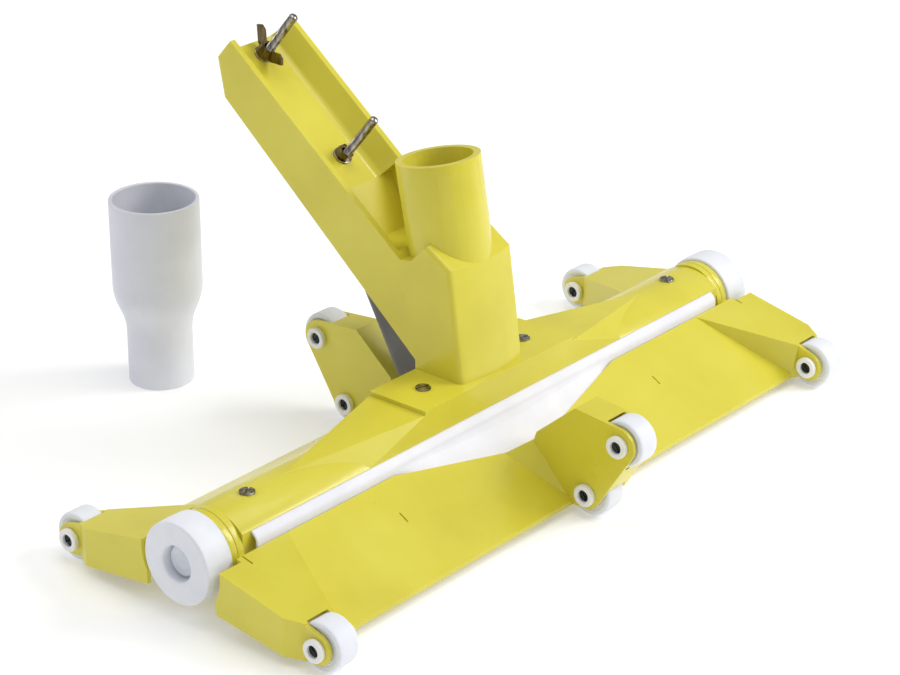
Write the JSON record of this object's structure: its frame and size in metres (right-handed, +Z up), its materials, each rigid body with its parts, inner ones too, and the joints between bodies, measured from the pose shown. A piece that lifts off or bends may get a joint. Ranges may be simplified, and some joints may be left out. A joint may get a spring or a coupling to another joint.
{
  "type": "manual vacuum head",
  "caption": "Wide yellow pool vacuum head with two folding wings on rollers, a hose socket, an open pole channel with clamp studs and a loose stepped hose adaptor.",
  "frame": {"origin": "on the floor, below the middle of the hinge line that both wings and the end wheels turn about", "axes": "+X along the head, +Y to the rear where the pole handle leans, +Z up"},
  "size_m": [0.4498, 0.3522, 0.231],
  "materials": {
    "yellow_abs": "moulded gloss",
    "white_wheel": "turned matt",
    "white_bush": "moulded satin",
    "white_seal": "soft satin",
    "grey_brace": "satin",
    "dark_screw": "blackened",
    "steel": "satin",
    "brass": "dull",
    "pin_white": "moulded satin",
    "adaptor_white": "moulded satin"
  },
  "bodies": {
    "head": {"main_body": "yellow_abs", "hose_tower": "yellow_abs", "rear_brace": "grey_brace", "seal_strip_rear": "white_seal", "seal_strip_front": "white_seal", "body_end_screws": "steel", "saddle_screws": "steel", "hinge_pin_left": "pin_white", "hinge_pin_right": "pin_white", "clamp_stud_lower": "steel", "clamp_stud_upper": "steel", "stud_washer_lower": "steel", "stud_washer_upper": "steel", "hex_nut_lower": "brass"},
    "front_wing": {"front_wing": "yellow_abs", "front_membrane": "white_seal", "front_axle_screws": "dark_screw", "front_bushes": "white_bush"},
    "rear_wing": {"rear_wing": "yellow_abs", "rear_membrane": "white_seal", "rear_axle_screws": "dark_screw", "rear_bushes": "white_bush"},
    "adaptor": {"hose_adaptor": "adaptor_white"},
    "end_wheel_left": {"end_wheel_left": "white_wheel"},
    "end_wheel_right": {"end_wheel_right": "white_wheel"},
    "front_left_wheel": {"front_left_wheel": "white_wheel"},
    "front_centre_wheel": {"front_centre_wheel": "white_wheel"},
    "front_right_wheel": {"front_right_wheel": "white_wheel"},
    "front_upper_wheel": {"front_upper_wheel": "white_wheel"},
    "rear_left_wheel": {"rear_left_wheel": "white_wheel"},
    "rear_centre_wheel": {"rear_centre_wheel": "white_wheel"},
    "rear_right_wheel": {"rear_right_wheel": "white_wheel"},
    "rear_upper_wheel": {"rear_upper_wheel": "white_wheel"},
    "wing_nut_upper": {"wing_nut_upper": "brass"}
  },
  "joints": [
    {"name": "front_wing_fold", "type": "hinge", "parent": "head", "child": "front_wing", "pos_m": [0, 0, 0.032], "axis": [-1, 0, 0], "range_deg": [-10, 25]},
    {"name": "rear_wing_fold", "type": "hinge", "parent": "head", "child": "rear_wing", "pos_m": [0, 0, 0.032], "axis": [1, 0, 0], "range_deg": [-10, 15]},
    {"name": "adaptor_lift", "type": "slide", "parent": "head", "child": "adaptor", "axis": [0, 0, 1], "range_m": [0, 0.15]},
    {"name": "end_wheel_left_spin", "type": "hinge", "parent": "head", "child": "end_wheel_left", "pos_m": [-0.21615, 0, 0.032], "axis": [1, 0, 0], "continuous": true},
    {"name": "end_wheel_right_spin", "type": "hinge", "parent": "head", "child": "end_wheel_right", "pos_m": [0.21615, 0, 0.032], "axis": [1, 0, 0], "continuous": true},
    {"name": "front_left_wheel_spin", "type": "hinge", "parent": "front_wing", "child": "front_left_wheel", "pos_m": [-0.2074, -0.0847, 0.013], "axis": [1, 0, 0], "continuous": true},
    {"name": "front_centre_wheel_spin", "type": "hinge", "parent": "front_wing", "child": "front_centre_wheel", "pos_m": [0, -0.0847, 0.013], "axis": [1, 0, 0], "continuous": true},
    {"name": "front_right_wheel_spin", "type": "hinge", "parent": "front_wing", "child": "front_right_wheel", "pos_m": [0.2074, -0.0847, 0.013], "axis": [1, 0, 0], "continuous": true},
    {"name": "front_upper_wheel_spin", "type": "hinge", "parent": "front_wing", "child": "front_upper_wheel", "pos_m": [0, -0.105, 0.0477], "axis": [1, 0, 0], "continuous": true},
    {"name": "rear_left_wheel_spin", "type": "hinge", "parent": "rear_wing", "child": "rear_left_wheel", "pos_m": [-0.2074, 0.0847, 0.013], "axis": [1, 0, 0], "continuous": true},
    {"name": "rear_centre_wheel_spin", "type": "hinge", "parent": "rear_wing", "child": "rear_centre_wheel", "pos_m": [0, 0.0847, 0.013], "axis": [1, 0, 0], "continuous": true},
    {"name": "rear_right_wheel_spin", "type": "hinge", "parent": "rear_wing", "child": "rear_right_wheel", "pos_m": [0.2074, 0.0847, 0.013], "axis": [1, 0, 0], "continuous": true},
    {"name": "rear_upper_wheel_spin", "type": "hinge", "parent": "rear_wing", "child": "rear_upper_wheel", "pos_m": [0, 0.105, 0.0477], "axis": [1, 0, 0], "continuous": true},
    {"name": "wing_nut_upper_spin", "type": "hinge", "parent": "head", "child": "wing_nut_upper", "pos_m": [0, 0.14907, 0.20317], "axis": [0, -0.6178, 0.7864], "continuous": true}
  ]
}
